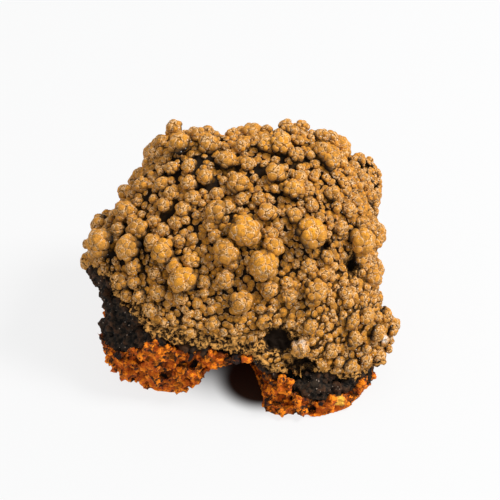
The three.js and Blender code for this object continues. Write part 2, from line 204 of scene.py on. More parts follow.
# The brown crust. Lengths are in millimetres, and those of a cap are shares of its knob's radius.
crust = {
    "voxel": 0.36,
    "most": 195000,  # triangles in a piece of knobs
    "skinMost": 120000,
    "liftSlope": 0.4,  # a larger knob stands further out of the skin
    "liftStart": 0.3,
    "liftRange": (0.1, 0.8),
    "sinkCore": -10,  # how deep the point is that the knobs point away from
    "fillTries": 22000,  # places tried for the small knobs between the standing ones
    "fillRadius": (0.55, 1.25),
    "fillSpacing": 1.22,
    "fillSink": 0.1,
    "fillClear": 1.02,  # how near they come to a standing knob, as a share of its radius
    "fillReach": 3.6,
    "fillCell": 2,
    "fillEdge": 0.4,  # how far above the broken edge they begin
    "hollowClear": 1.1,
    "outlineShare": 0.84,  # the part of the face outside this is as full as it can be
    "knobRadius": 1.85,  # larger knobs make the first piece
    "lesserRadius": 1.45,  # and the second: these have many caps too
    "bigRadius": 2.5,  # knobs larger than this have the finest caps
    "knobLean": 0.3,
    "beadRadius": 1.0,  # knobs smaller than this are single lobes
    "beadStretch": (1.3, 0.7),
    "knobStretch": (1.12, 0.92),
    "capHeight": 0.9,  # how tall a cap is for its width
    "capLean": 0.35,
    "capStand": (-0.07, 0.09),  # how far the caps of a knob stand in or out
    "capsReach": 1.55,  # how far down a knob its caps go, from its top
    "capTurn": 2.4,  # the angle from one cap to the next
    "coreSize": 0.74,
    # Caps of the first model, more for each next one, size of its caps, less for each next one, models
    "bigCaps": (20, 5, 0.44, 0.03, 4),
    "middleCaps": (11, 2, 0.52, 0.03, 6),
    "smallCaps": (5, 1, 0.64, 0.03, 5),
    "rimRadius": 2.1,
    "rimSpacing": 9,
    "rimRows": [-1.2, -3.6],  # rows of knobs down over the outline, by W
    "backLobe": {"at": (23.8, 16.2, -5.5), "size": (4.5, 7, 6)},
    # The knobs that stand out: U, V and radius
    "bigKnobs": [
        # upper left
        (-13.1, 28.2, 2.0), (-11.8, 24.8, 2.4), (-15.4, 25.2, 1.7), (-17, 23.4, 1.7), (-8.4, 26.6, 1.8),
        (-6.2, 24.8, 2.2), (-1.4, 26.8, 1.7), (-9.8, 20.4, 1.7), (-19.8, 19, 1.8), (-19.3, 16.8, 1.8),
        (-22.4, 15.4, 2.2), (-6.6, 18.2, 1.9), (-9.8, 17, 1.8), (-15.2, 16.8, 1.7), (-13.2, 15.1, 1.7),
        (-14.6, 12.9, 1.8), (-22.4, 11.5, 2.4), (-9.1, 14.1, 1.8), (-11, 12, 1.8), (-2.8, 21.4, 2.2),
        (0.4, 24.3, 1.7), (-0.4, 17, 2.3), (-4.5, 11.5, 2.4), (-5.7, 8.8, 1.7),
        # left
        (-28, 9.4, 2.0), (-27.5, 5.4, 2.9), (-19.8, 8, 2.2), (-14.9, 7.8, 1.7), (-21.7, 4.4, 2.6),
        (-14.9, 3.8, 2.5), (-17, 5.4, 1.9), (-2.6, 3.8, 2.8), (-9.5, 2.1, 2.0), (-11, -1.8, 2.8),
        (-12.5, 0.6, 2.0),
        # upper right
        (5.1, 24.4, 2.0), (8, 24.9, 2.4), (7, 19, 2.2), (10.5, 15.8, 2.3), (11.6, 18, 1.8),
        (9.2, 28.6, 1.7), (12.4, 28.8, 1.7), (11, 22.5, 1.8), (16.4, 23.3, 2.0), (16.1, 26.6, 1.8),
        (17.7, 21.6, 2.2), (18, 15, 1.8), (21.4, 11.8, 1.8),
        # middle
        (5.4, 11.2, 2.2), (10.5, 10.7, 1.8), (13.8, 7.2, 3.4), (1, 7.6, 3.1), (5.9, 7.2, 1.7),
        (6.4, 4.4, 2.3), (4.6, 1.1, 3.0), (-2.8, -1.8, 2.1), (13.4, 0.8, 1.7),
        # right
        (19.8, 8.3, 1.7), (23.9, 5.9, 2.8), (26.4, 8.3, 1.8), (27, 5.8, 1.8), (23.6, 2.6, 1.8),
        (24.2, 9.2, 1.8), (26.1, -1.4, 2.2), (20.5, -4.5, 1.7), (27, -5.5, 1.7),
        # lower middle
        (0.1, -6, 2.4), (5.7, -3.7, 1.9), (9.8, -5, 1.7), (4.7, -9.8, 1.7), (14.8, -4, 2.5),
        (13.6, -10.8, 1.8), (11.8, -15, 2.0),
        # lower right
        (22, -9.8, 1.7), (24.8, -9, 1.8), (28.7, -9, 1.7), (22.3, -13.4, 1.9), (26.9, -12.4, 1.7),
        (17.7, -15.7, 1.7), (24.6, -17.6, 1.7), (21.5, -18.6, 1.7), (27.4, -17, 1.7),
        # lower left
        (-20.7, 0.6, 1.9), (-23.2, -2, 2.0), (-19.4, -5, 1.7), (-17.4, -7.6, 1.7), (-15.8, -4.3, 1.9),
        (-5.2, -10.2, 1.7),
    ],
    "smallKnobs": [
        # upper left
        (-14.4, 21.8, 1.2), (-4, 24.6, 1.0), (-6, 27.6, 1.2), (-1.8, 24.8, 1.0), (-15.4, 19.2, 1.1),
        (-18.4, 21.2, 1.2), (-20, 13.4, 1.2), (-16.8, 13.9, 1.2), (-25.2, 11, 1.2), (-7.4, 13, 1.0),
        (-10.6, 9.8, 1.2), (-8.4, 10.8, 1.1), (-13.2, 20, 1.6), (-4.5, 14.8, 1.6), (-12.5, 9.3, 1.6),
        (1.6, 20.8, 1.6), (0.4, 13.8, 1.6), (-2.3, 12.2, 1.6),
        # left
        (-30.5, 5.2, 1.2), (-29, 3.4, 1.3), (-25.8, 9.5, 1.1), (-21, 9.8, 1.4), (-11.8, 5.6, 1.5),
        (-9.1, 6.2, 1.3), (-7, 4.2, 1.0), (-23.9, 8, 1.6), (-16.8, 9.5, 1.6), (-4.8, 6.6, 1.6),
        # upper right
        (5.4, 28.2, 1.4), (10.5, 27.4, 1.4), (11.6, 25.4, 1.3), (13.7, 22.5, 1.2), (20.6, 23.2, 1.2),
        (19.8, 21.2, 1.4), (21, 19.4, 1.0), (14.5, 18.2, 1.3), (16.9, 18, 1.2), (18.6, 18.6, 1.0),
        (20.2, 17.2, 1.3), (20.9, 15.4, 1.2), (15.6, 14.2, 1.0), (18.8, 12.3, 1.4), (22.8, 13.6, 1.4),
        (13.2, 15.8, 1.6), (2.4, 27.1, 1.6), (18.2, 26.4, 1.6), (14, 12.6, 1.6),
        # middle
        (6.2, 13.6, 1.0), (6.7, 15.8, 1.2), (4.3, 17.1, 1.1), (8.6, 11.2, 1.0), (3.8, 9.1, 1.4),
        (7.2, 8.6, 1.4), (9.4, 2.6, 1.2), (10.9, 1.3, 1.1), (12, -0.8, 1.2), (3.8, 13.9, 1.6),
        (-1.6, 1.4, 1.6),
        # right
        (17.4, 9.9, 1.2), (15.6, 10.4, 1.2), (27.2, 1.4, 1.1), (16.2, -0.9, 1.5), (18, -1.4, 1.0),
        (20.2, -2.2, 1.2), (22.3, -2.2, 1.2), (22, -5, 1.3), (21, -6.4, 1.4), (24, -5.5, 1.2),
        (16.9, 2.7, 1.6),
        # lower middle
        (2.2, -2.6, 0.9), (9.1, -2.5, 1.5), (11, -6.8, 1.0), (6.2, -7.5, 1.1), (0.6, -9.6, 0.8),
        (7.2, -9, 0.8), (13.6, -6.2, 1.2), (17.6, -6, 1.0), (11.8, -8.5, 0.9), (10.2, -9, 0.8),
        (14.6, -15.9, 1.0),
        # lower right
        (20, -8.8, 1.2), (17.9, -8.3, 1.0), (26.9, -9.1, 1.3), (28.4, -13.8, 1.2), (17.2, -13.1, 1.3),
        (20, -15.2, 0.9), (24.8, -15.4, 1.2), (19.5, -17.8, 1.2), (15.9, -18, 1.2), (30.2, -12, 1.2),
        (29.4, -15.6, 1.0),
        # lower left
        (-24.3, 1.8, 1.0), (-26.4, 0.6, 1.2), (-16.6, -0.4, 1.5), (-13.6, -4.8, 1.3), (-6.9, 0, 1.2),
        (-6.9, -4.3, 1.2), (-5.6, -6, 1.0), (-4.4, -7, 0.9), (-8.2, -5.8, 0.8), (-3.1, -11.9, 1.0),
        (-1.1, -11.9, 1.0), (-10.5, -7.6, 1.0), (-20.7, -2.2, 1.6), (-22, -4.8, 1.6), (-11.5, -5.4, 1.6),
        (-6.9, -2.2, 1.6),
    ],
    "lobeKnobs": [
        (23, 20.8, 1.5), (25.6, 20.2, 1.6), (27, 17.6, 1.6), (24.4, 18, 1.7), (23, 15.6, 1.6),
        (26.4, 14.8, 1.7), (24.6, 12.4, 1.6), (27.4, 12, 1.5),
    ],
    # Knobs with golden tips, by their place, and how golden each is
    "goldTips": {
        (13.8, 7.2): 1, (1, 7.6): 0.85, (4.6, 1.1): 0.75, (6.4, 4.4): 0.55, (5.1, 24.4): 0.9,
        (8, 24.9): 1,
        (-14.9, 3.8): 0.9, (-9.5, 2.1): 0.8, (-11, -1.8): 1, (-12.5, 0.6): 0.85, (10.5, 15.8): 0.5,
        (7, 19): 0.5, (23.9, 5.9): 0.45, (-11.8, 24.8): 0.45, (27, 5.8): 0.3, (26.1, -1.4): 0.3,
    },
    # Knobs with pale tips: real whitish frosting on the first, a painted highlight on the second
    "paleAndGlintTips": {(11.8, -15): 0.4, (28.4, -13.8): 0.9},
    # Places where the crust is open and black inside: U, V, half width and half height
    "hollows": [
        (7.6, -13.6, 3.4, 2.9), (12.2, -18.6, 3.3, 1.9), (-22.2, -5, 1.9, 2.2), (22, 1, 1.2, 2.2),
        (16.6, 4.6, 1, 1.5),
    ],
    "laceGrains": 1300,
    "laceRadius": (0.3, 0.75),
    # Relief of the broken edge and the hollows: name, size, height, kind, middle and where
    "relief": [
        ("crustPores", 1.3, 1.7, "VORONOI", 0.5, "porous"),
        ("crustLace", 0.6, 1, "CLOUDS", 0.5, "porous"),
        ("crustHollows", 1.5, 2, "CLOUDS", 1.2, "sunken"),
    ],
    "knobSink": 0.85,  # how far the skin is drawn in under the knobs that hide it
    "skinGrain": (1.2, 0.5),
}
chance = random.Random(7)


def randomWay():
    return Vector([chance.uniform(-1, 1) for axis in "xyz"])


def randomSpin():
    return Matrix.Rotation(chance.uniform(0, 2 * math.pi), 4, "Z")


def facing(direction):
    return direction.to_track_quat("Z", "Y").to_matrix().to_4x4()


def randomPoint(base, faces, areaSoFar):
    face = faces[int(np.searchsorted(areaSoFar, chance.random() * areaSoFar[-1]))]
    corners = [base.data.vertices[i].co for i in face.vertices[:3]]
    a, b = sorted((chance.random(), chance.random()))
    return face, corners[0] * a + corners[1] * (b - a) + corners[2] * (1 - b)


def modelBall(name, finer, radius, seed, rough, outwards):
    # An uneven ball: the share of its roughness that goes outwards, and the rest goes any way
    bpy.ops.object.select_all(action="DESELECT")
    bpy.ops.mesh.primitive_ico_sphere_add(subdivisions=finer, radius=radius)
    ball = bpy.context.object
    ball.name = name
    bpy.ops.object.mode_set(mode="EDIT")
    bpy.ops.mesh.select_all(action="SELECT")
    bpy.ops.transform.vertex_random(offset=rough, normal=outwards, uniform=1 - outwards, seed=seed)
    bpy.ops.object.mode_set(mode="OBJECT")
    return ball


def modelLobe(name, finer, seed, radius=1):
    lobe = modelBall(name, finer, radius, seed, 0.05, 1)
    bpy.ops.object.shade_smooth()
    return lobe


def modelGrain(name, seed, rough):
    return modelBall(name, 2, 1, seed, rough, 0.6)


def keepClearance(parts, shapes):
    # How far each point of each lobe is outside the other lobes: 0 in the creases, below 0 inside
    inverses = [np.linalg.inv(np.array(shape)) for shape in shapes]
    for i, part in enumerate(parts):
        places = vertexArrays(part)[0]
        world = np.c_[places * mm, np.ones(len(places))] @ np.array(part.matrix_world).T
        clear = np.full(len(places), 1.0)
        for j, inverse in enumerate(inverses):
            if j != i:
                inner = (world @ inverse.T)[:, :3]
                reach = np.linalg.norm(inner, axis=1).clip(0.05)
                slope = np.linalg.norm((inner / reach[:, None]) @ inverse[:3, :3], axis=1)
                clear = np.minimum(clear, (reach - 1) / slope)
        keepValues(part, "clear", clear.clip(-0.3, 0.5))
        keepValues(part, "tint", [chance.random()] * len(places))


def modelKnob(name, lobes, lobeCount, lobeSize, lobeDetail):
    # A ball of radius 1 under overlapping caps, from its top to below its sides
    knob = modelLobe(name, lobeDetail, 5, crust["coreSize"])
    parts, shapes = [knob], [Matrix.Scale(crust["coreSize"], 4)]
    for i in range(lobeCount):
        height = 1 - crust["capsReach"] * i / lobeCount
        angle = crust["capTurn"] * i + chance.uniform(-0.4, 0.4)
        size = lobeSize * (1.1 - 0.35 * i / lobeCount) * chance.uniform(0.82, 1.18)
        around = math.sqrt(max(0, 1 - height * height))
        direction = Vector((around * math.cos(angle), around * math.sin(angle), height))
        lean = randomWay() * crust["capLean"]
        flat = crust["capHeight"] * chance.uniform(0.85, 1.2)
        centre = direction * (1 + chance.uniform(*crust["capStand"]) - flat * size)
        spin = randomSpin()
        shape = Matrix.Diagonal((size * chance.uniform(0.85, 1.1), size, flat * size, 1))
        shapes.append(Matrix.Translation(centre) @ facing(direction + lean) @ spin @ shape)
        parts.append(placeCopy(chance.choice(lobes), shapes[-1]))
    bpy.context.view_layer.update()
    keepClearance(parts, shapes)
    joinInto(knob, parts[1:])
    keepValues(knob, "knobUp", [vertex.co.z for vertex in knob.data.vertices])
    return knob


def knobPlace(u, v, radius, height=None):
    # The middle of a knob on the crust: the big ones stand further out of it
    if height is None:
        height = skinHeight(u, v)
    reach = outlineRadius(math.atan2(v, u)) - body["skinRim"] + 0.4 * radius
    pull = min(1, reach / math.hypot(u, v))
    least, most = crust["liftRange"]
    lift = radius * min(max(crust["liftSlope"] * radius - crust["liftStart"], least), most)
    return onFace(u * pull, v * pull, height + lift)


def listedKnobs():
    # Every knob with a place of its own: its middle, its radius, and how golden and how pale its tip is,
    # the pale tips being partly painted highlight
    found = []
    for u, v, radius in crust["bigKnobs"] + crust["smallKnobs"]:
        tips = crust["goldTips"].get((u, v), 0), crust["paleAndGlintTips"].get((u, v), 0)
        found.append((knobPlace(u, v, radius), radius, tips))
    u0, v0, w0 = crust["backLobe"]["at"]
    a, b, c = crust["backLobe"]["size"]
    for u, v, radius in crust["lobeKnobs"]:
        share = min(math.hypot((u - u0) / a, (v - v0) / b), 1)
        found.append((knobPlace(u, v, radius, w0 + c * math.sqrt(1 - share * share)), radius, (0, 0)))
    for index, row in enumerate(crust["rimRows"]):
        angle = -0.35 + 0.06 * index
        while angle < math.pi:
            rim = outlineRadius(angle) - body["skinRim"]
            share = (1 - (-row / body["backBulge"]) ** body["power"]) ** (1 / body["power"])
            radius = crust["rimRadius"] * (1 + 0.3 * math.sin(9 * angle + index))
            place = onFace(rim * share * math.cos(angle), rim * share * math.sin(angle), row)
            found.append((place, radius, (0, 0)))
            angle += crust["rimSpacing"] / rim
    return found


def hollowReach(u, v):
    # How far a place is from the nearest open hollow: 1 on its ragged edge
    ragged = 1 + 0.16 * np.sin(3.1 * u + 1.3 * v) + 0.14 * np.sin(2.3 * v - 1.9 * u)
    away = [np.hypot((u - u0) / a, (v - v0) / b) for u0, v0, a, b in crust["hollows"]]
    return ragged * np.min(away, axis=0)


def aboveSkin(u, v, w):
    # How far a point stands out of the even skin that the knobs grew on
    heights = [c - skinHeight(a, b) for a, b, c in zip(u, v, w)]
    edges = [outlineRadius(math.atan2(b, a)) for a, b in zip(u, v)]
    sideways = [math.hypot(a, b) - edge + body["skinRim"] for a, b, edge in zip(u, v, edges)]
    return np.maximum(np.where(w > 0, heights, -9), sideways)


def marginAt(u, v):
    # 1 where the crust broke into a porous edge, along its foot and round the hollows, else 0
    wide = np.where((u > -21) & (u < 5), 4.8, 1.5)
    level = np.interp(u, [p[0] for p in body["crustEdge"]], [p[1] for p in body["crustEdge"]])
    reach = hollowReach(u, v)
    ring = ramp(reach, 0.7, 0.95) * (1 - ramp(reach, 1.1, 1.5))
    return np.maximum(1 - ramp(v - level, 0.3 * wide, wide), ring)


def sparseShare(u, v):
    # Black gaps stay between the knobs at the upper left, and the lower right is grown over
    return 0.8 - 0.75 * ramp(0.7 * u - v, -24, 2)


def faceCoordinates(places):
    away = places - np.array(faceCentre)
    return [away @ np.array(direction) for direction in (faceRight, faceUp, faceOut)]


def nearOutline(u, v):
    return math.hypot(u, v) > crust["outlineShare"] * outlineRadius(math.atan2(v, u))


def fillKnobs(base, standing):
    # Small knobs strewn over the skin between the standing ones
    tree = KDTree(len(standing))
    for i, knob in enumerate(standing):
        tree.insert(knob[0], i)
    tree.balance()
    core = onFace(0, 0, crust["sinkCore"])
    outer = [face for face in base.data.polygons if face.normal.dot(face.center - core) > 0.1 * mm]
    areaSoFar = np.cumsum([face.area for face in outer])
    clear, room, wide = crust["fillClear"], crust["fillSpacing"] * 0.5, crust["fillCell"] * mm
    taken, found = {}, []
    for attempt in range(crust["fillTries"]):
        face, point = randomPoint(base, outer, areaSoFar)
        u, v = [float(x) for x in faceCoordinates(np.array(point) / mm)[:2]]
        if v - edgeLevel(u) < crust["fillEdge"] or face.normal.dot(faceUp) < -0.9:
            continue
        if float(marginAt(u, v)) > chance.uniform(0.15, 0.9):
            continue
        if float(hollowReach(u, v)) < crust["hollowClear"]:
            continue
        if not nearOutline(u, v) and chance.random() < float(sparseShare(u, v)):
            continue
        radius = chance.uniform(*crust["fillRadius"])
        point = point - face.normal * crust["fillSink"] * radius * mm
        beside = tree.find_range(point, crust["fillReach"] * mm)
        if any(away < clear * standing[i][1] * mm for place, i, away in beside):
            continue
        cell = tuple(int(math.floor(x / wide)) for x in point)
        near = [
            other
            for x in (-1, 0, 1) for y in (-1, 0, 1) for z in (-1, 0, 1)
            for other in taken.get((cell[0] + x, cell[1] + y, cell[2] + z), [])
        ]
        if any((point - place).length < room * (radius + size) * mm for place, size in near):
            continue
        taken.setdefault(cell, []).append((point, radius))
        found.append((point, radius, (0, 0)))
    return found


def tipShare(knob, matrix, middle):
    # How near each point of a knob is to its tip, which looks out and up
    shine = (faceOut * 0.7 + Vector((0.1, 0, 0.75))).normalized()
    tops = [((matrix @ vertex.co) - middle).normalized().dot(shine) for vertex in knob.data.vertices]
    return ramp(np.array(tops), 0.3, 0.98)


def emptyPiece(name):
    thing = bpy.data.objects.new(name, bpy.data.meshes.new(name))
    bpy.context.scene.collection.objects.link(thing)
    return thing


def plantKnobs(name, places, pick):
    # One piece of knobs: a copy of a model at each place, facing outwards, and spun at random
    core = onFace(0, 0, crust["sinkCore"])
    copies = []
    for middle, radius, tips in places:
        lean = randomWay() * crust["knobLean"]
        turn = facing((middle - core).normalized() + lean)
        matrix = Matrix.Translation(middle) @ turn @ randomSpin() @ Matrix.Scale(radius * mm, 4)
        wide, tall = crust["beadStretch" if radius < crust["beadRadius"] else "knobStretch"]
        matrix = matrix @ Matrix.Diagonal((chance.uniform(0.9, wide), 1, chance.uniform(tall, 1), 1))
        knob = placeCopy(pick(radius), matrix)
        own = 0.5 * chance.random() + 0.5 * min(max((radius - 0.6) / 1.6, 0), 1)
        keepValues(knob, "own", [own] * len(knob.data.vertices))
        clear = np.empty(len(knob.data.vertices), dtype=np.float32)
        knob.data.attributes["clear"].data.foreach_get("value", clear)
        knob.data.attributes["clear"].data.foreach_set("value", clear * radius)
        for label, amount in zip(("gold", "paleAndGlint"), tips):
            if amount > 0:
                keepValues(knob, label, amount * tipShare(knob, matrix, middle))
        copies.append(knob)
    piece = joinInto(emptyPiece(name), copies)
    limitTriangles(piece, crust["most"])
    return piece


def modelKnobs(name, lobes, caps, lobeDetail):
    first, more, size, less, count = caps
    return [
        modelKnob(f"{name}{i}", lobes, first + more * i, size - less * i, lobeDetail)
        for i in range(count)
    ]


def growKnobs():
    # The knobs of the crust, in three pieces by size, the last with the beads between them
    bigLobes = [modelLobe(f"bigLobe{i}", 3, i) for i in range(3)]
    lobes = [modelLobe(f"lobe{i}", 2, i) for i in range(4)]
    beads = [modelLobe(f"bead{i}", 2, 20 + i) for i in range(5)]
    for bead in beads:
        heights = np.array([vertex.co.z for vertex in bead.data.vertices])
        keepValues(bead, "knobUp", heights)
        keepValues(bead, "clear", (0.5 * (heights - 0.15)).clip(-0.3, 0.5))
        keepValues(bead, "tint", [chance.random()] * len(heights))
    big = modelKnobs("bigKnob", bigLobes, crust["bigCaps"], 3)
    middle = modelKnobs("middleKnob", lobes, crust["middleCaps"], 3)
    small = modelKnobs("smallKnob", lobes, crust["smallCaps"], 2)

    def pick(radius):
        if radius < crust["beadRadius"]:
            return chance.choice(beads)
        if radius > crust["bigRadius"]:
            return chance.choice(big)
        return chance.choice(middle if radius > crust["lesserRadius"] else small)

    standing = listedKnobs()
    skin = mergedCopy("mottramite_crust", "crustSkin")
    filled = fillKnobs(skin, standing)
    discard(skin)
    print("crust: knobs standing", len(standing), "and between them", len(filled))
    steps = [math.inf, crust["knobRadius"], crust["lesserRadius"], 0]
    groups = [
        [knob for knob in standing if low < knob[1] <= high] for high, low in zip(steps, steps[1:])
    ]
    pieces = [
        plantKnobs("mottramiteKnobs", groups[0], pick),
        plantKnobs("mottramiteLesserKnobs", groups[1], pick),
        plantKnobs("mottramiteBeads", groups[2] + filled, pick),
    ]
    discard(*bigLobes, *lobes, *beads, *big, *middle, *small)
    return pieces


def growSkin():
    # The crust's own skin: bare between the knobs and painted dark there as shade, black inside the
    # hollows, and porous lace where it broke
    def inMargin(face):
        u, v, w = [float(x) for x in faceCoordinates(np.array(face.center) / mm)]
        return outside(face) and w > -9 and float(marginAt(u, v)) > 0.35

    base = mergedCopy("mottramite_crust", "mottramiteCrust")
    grains = [modelGrain(f"laceGrain{i}", 30 + i, 0.3) for i in range(3)]
    joinInto(base, strewGrains(base, grains, crust["laceGrains"], crust["laceRadius"], inMargin))
    discard(*grains)
    applyModifier(base, "REMESH", mode="VOXEL", voxel_size=crust["voxel"] * mm)
    keepLargest(base)
    u, v, w = faceCoordinates(vertexArrays(base)[0])
    weigh(base, "porous", marginAt(u, v))
    weigh(base, "sunken", (1 - ramp(hollowReach(u, v), 0.6, 1)) * (w > 0))
    for relief in crust["relief"]:
        roughen(base, *relief)
    weigh(base, "underKnobs", ramp(aboveSkin(u, v, w), 0.1, 0.9) * (1 - marginAt(u, v)))
    sink = -crust["knobSink"] * mm
    applyModifier(base, "DISPLACE", strength=sink, mid_level=0, vertex_group="underKnobs")
    roughen(base, "crustGrain", *crust["skinGrain"])
    limitTriangles(base, crust["skinMost"])
    u, v, w = faceCoordinates(vertexArrays(base)[0])
    broken = marginAt(u, v)
    keepValues(base, "broken", broken * (1 - 0.6 * (hollowReach(u, v) < 0.8)))
    # Painted shade: the recesses of the broken margin, found by smoothing, are darkened
    keepValues(base, "gapShade", ramp(-standOut(base, 30), 0.0, 0.4) * broken)
    # Painted shade: where the knobs leave the skin uncovered it is painted near black; inside the
    # hollows the black is the crust's own
    covered = np.maximum(0.8 * ramp(0.6 * u - v, 2, 18), ramp(aboveSkin(u, v, w), -0.1, 0.5))
    covered = np.maximum(covered, [nearOutline(a, b) for a, b in zip(u, v)])
    keepValues(base, "shadeAndHollows", np.maximum(1 - covered, 1 - ramp(hollowReach(u, v), 0.8, 1.1)))
    return base


def keepLargest(thing):
    # Drops the crumbs and inner skins that a remesh leaves loose
    selectOnly(thing)
    bpy.ops.mesh.separate(type="LOOSE")
    loose = sorted(bpy.context.selected_objects, key=lambda other: len(other.data.vertices))
    largest = loose[-1]
    if largest != thing:
        thing.data, largest.data = largest.data, thing.data
    for other in loose:
        if other != thing:
            bpy.data.objects.remove(other)


def weigh(thing, name, values):
    group = thing.vertex_groups.new(name=name)
    for i in np.nonzero(values > 0.01)[0]:
        group.add([int(i)], float(values[i]), "REPLACE")


# The black oxide: a granular, sooty layer under the crust
oxide = {
    "voxel": 0.33,
    "most": 110000,
    "grains": 1100,
    "grainRadius": (0.3, 0.85),
    "grainRough": 0.15,
    "rimCalm": 0.6,  # how much of its relief goes near the crust's back edge
    # Name, size, height, kind and middle
    "relief": [
        ("oxideLumps", 3.2, 2.2, "CLOUDS", 0.5),
        ("oxideCells", 1.4, 1.5, "VORONOI", 0.4),
        ("oxideGrit", 0.7, 0.9, "CLOUDS", 0.5),
    ],
    # Where the finish paints shade into the gaps and where it sees tops: steps of smoothing, and from
    # and to what height
    "shadedGaps": (25, 0.05, 0.4),
    "tops": (8, 0.02, 0.2),
}

# The gossan: crumbly orange rock that everything grew on
gossan = {
    "voxel": 0.33,
    "most": 190000,
    "grains": 1500,
    "grainRadius": (0.35, 1.1),
    "grainRough": 0.25,
    "ochreLump": (19.6, -25.8),  # a yellow lump on the right foot
    "ochreReach": 1.5,
    "rimCalm": 0.92,
    "relief": [
        ("gossanLumps", 4, 2.6, "CLOUDS", 0.6),
        ("gossanBites", 2, 2.4, "VORONOI", 0.55),
        ("gossanCrumbs", 0.8, 1.3, "CLOUDS", 0.5),
    ],
    "reliefStart": (0.15, 1.4),  # between these heights the relief grows, so its foot stays flat
    "shadedGaps": (30, 0.15, 0.9),
    "tops": (10, -0.1, 0.25),
    # Crumbs with a place of their own, in the part's frame: X, Y, Z and radius
    "footCrumbs": [
        (13.2, -22.2, 1.3, 1.2), (14.8, -22.5, 1.2, 1.15), (16.4, -22.3, 1.3, 1.2),
        (17.8, -21.8, 1.3, 1.2), (15.4, -21, 1.4, 1.3), (12, -21.8, 1.2, 1.1),
    ],
    # And on the face: U, V and radius
    "spurCrumbs": [
        (24.6, -21.6, 1.2), (25.8, -20.6, 1.1), (26.4, -21.6, 0.8), (9.6, -22.4, 0.9), (8, -21.6, 0.8),
    ],
}


def strewGrains(base, models, count, sizes, keep):
    # Small angular grains half sunk in a broken face, where keep says so
    faces = [face for face in base.data.polygons if keep(face)]
    areaSoFar = np.cumsum([face.area for face in faces])
    copies = []
    for attempt in range(count):
        face, point = randomPoint(base, faces, areaSoFar)
        radius = sizes[0] + (sizes[1] - sizes[0]) * chance.random() ** 2
        point = point - face.normal * 0.3 * radius * mm
        if point.z < (radius + 0.15) * mm:
            continue
        turn = Matrix.Rotation(chance.uniform(0, 6.28), 4, randomWay())
        flat = Matrix.Diagonal((1, chance.uniform(0.6, 1), chance.uniform(0.5, 1), 1))
        matrix = Matrix.Translation(point) @ turn @ flat @ Matrix.Scale(radius * mm, 4)
        copies.append(placeCopy(chance.choice(models), matrix))
    return copies


def outside(face):
    return face.normal.dot(face.center - onFace(0, 0, -4)) > 0


def breakSurface(thing, look, group):
    # The relief of a broken piece, thinned and kept on the ground, and where its gaps are, which the
    # finish darkens as painted shade, and its tops
    for relief in look["relief"]:
        roughen(thing, *relief, group=group)
    limitTriangles(thing, look["most"])
    flattenBelow(thing)
    # Painted shade: how far each point lies in a recess
    steps, low, high = look["shadedGaps"]
    keepValues(thing, "gapShade", ramp(-standOut(thing, steps), low, high))
    steps, low, high = look["tops"]
    keepValues(thing, "top", ramp(standOut(thing, steps), low, high))


def flattenBelow(thing):
    # Brings what reaches below the ground up to it, to within a few thousandths of a millimetre
    selectOnly(thing)
    bpy.ops.object.mode_set(mode="EDIT")
    bpy.ops.mesh.select_mode(type="VERT")
    bpy.ops.mesh.select_all(action="DESELECT")
    bpy.ops.object.mode_set(mode="OBJECT")
    thing.data.vertices.foreach_set("select", vertexArrays(thing)[0][:, 2] < 0)
    bpy.ops.object.mode_set(mode="EDIT")
    bpy.ops.transform.resize(value=(1, 1, 0.02), center_override=(0, 0, 0))
    bpy.ops.object.mode_set(mode="OBJECT")


def rimShare(thing):
    # How near each point is to the crust's back edge, where a piece has less relief and stays behind it
    u, v, w = faceCoordinates(vertexArrays(thing)[0])
    reach = np.hypot(u, v) / np.array([outlineRadius(math.atan2(b, a)) for a, b in zip(u, v)])
    higher = ramp(v - np.array([edgeLevel(a) for a in u]), 1, 4)
    return ramp(reach, 0.78, 0.9) * higher * ramp(w, -15, -10)


def breakOxide():
    grains = [modelGrain(f"sootGrain{i}", i, oxide["grainRough"]) for i in range(3)]
    base = mergedCopy("black_oxide_layer", "blackOxideLayer")
    joinInto(base, strewGrains(base, grains, oxide["grains"], oxide["grainRadius"], outside))
    discard(*grains)
    applyModifier(base, "REMESH", mode="VOXEL", voxel_size=oxide["voxel"] * mm)
    keepLargest(base)
    weigh(base, "free", 1 - oxide["rimCalm"] * rimShare(base))
    breakSurface(base, oxide, "free")
    return base


def breakGossan():
    grains = [modelGrain(f"gossanGrain{i}", 10 + i, gossan["grainRough"]) for i in range(4)]
    base = mergedCopy("gossan_matrix", "gossanMatrix")
    crumbs = strewGrains(base, grains, gossan["grains"], gossan["grainRadius"], outside)
    places = [(Vector((x, y, z)) * mm, radius) for x, y, z, radius in gossan["footCrumbs"]]
    places += [(onFace(u, v, skinHeight(u, v)), radius) for u, v, radius in gossan["spurCrumbs"]]
    for place, radius in places:
        matrix = Matrix.Translation(place) @ Matrix.Scale(radius * mm, 4)
        crumbs.append(placeCopy(chance.choice(grains), matrix))
    joinInto(base, crumbs)
    discard(*grains)
    applyModifier(base, "REMESH", mode="VOXEL", voxel_size=gossan["voxel"] * mm)
    keepLargest(base)
    heights = vertexArrays(base)[0][:, 2]
    weigh(base, "free", ramp(heights, *gossan["reliefStart"]) * (1 - gossan["rimCalm"] * rimShare(base)))
    breakSurface(base, gossan, "free")
    lump = onFace(*gossan["ochreLump"], skinHeight(*gossan["ochreLump"])) / mm
    away = np.linalg.norm(vertexArrays(base)[0] - np.array(lump), axis=1)
    keepValues(base, "ochre", 1 - ramp(away, 0.5 * gossan["ochreReach"], gossan["ochreReach"]))
    return base


# Node groups that the finishes share
def newGroup(name, inputs, outputs):
    group = bpy.data.node_groups.new(name, "ShaderNodeTree")
    for label, kind, value in inputs:
        socket = group.interface.new_socket(name=label, in_out="INPUT", socket_type=kind)
        socket.default_value = value
    for label, kind in outputs:
        group.interface.new_socket(name=label, in_out="OUTPUT", socket_type=kind)
    return group, group.nodes.new("NodeGroupInput"), group.nodes.new("NodeGroupOutput")


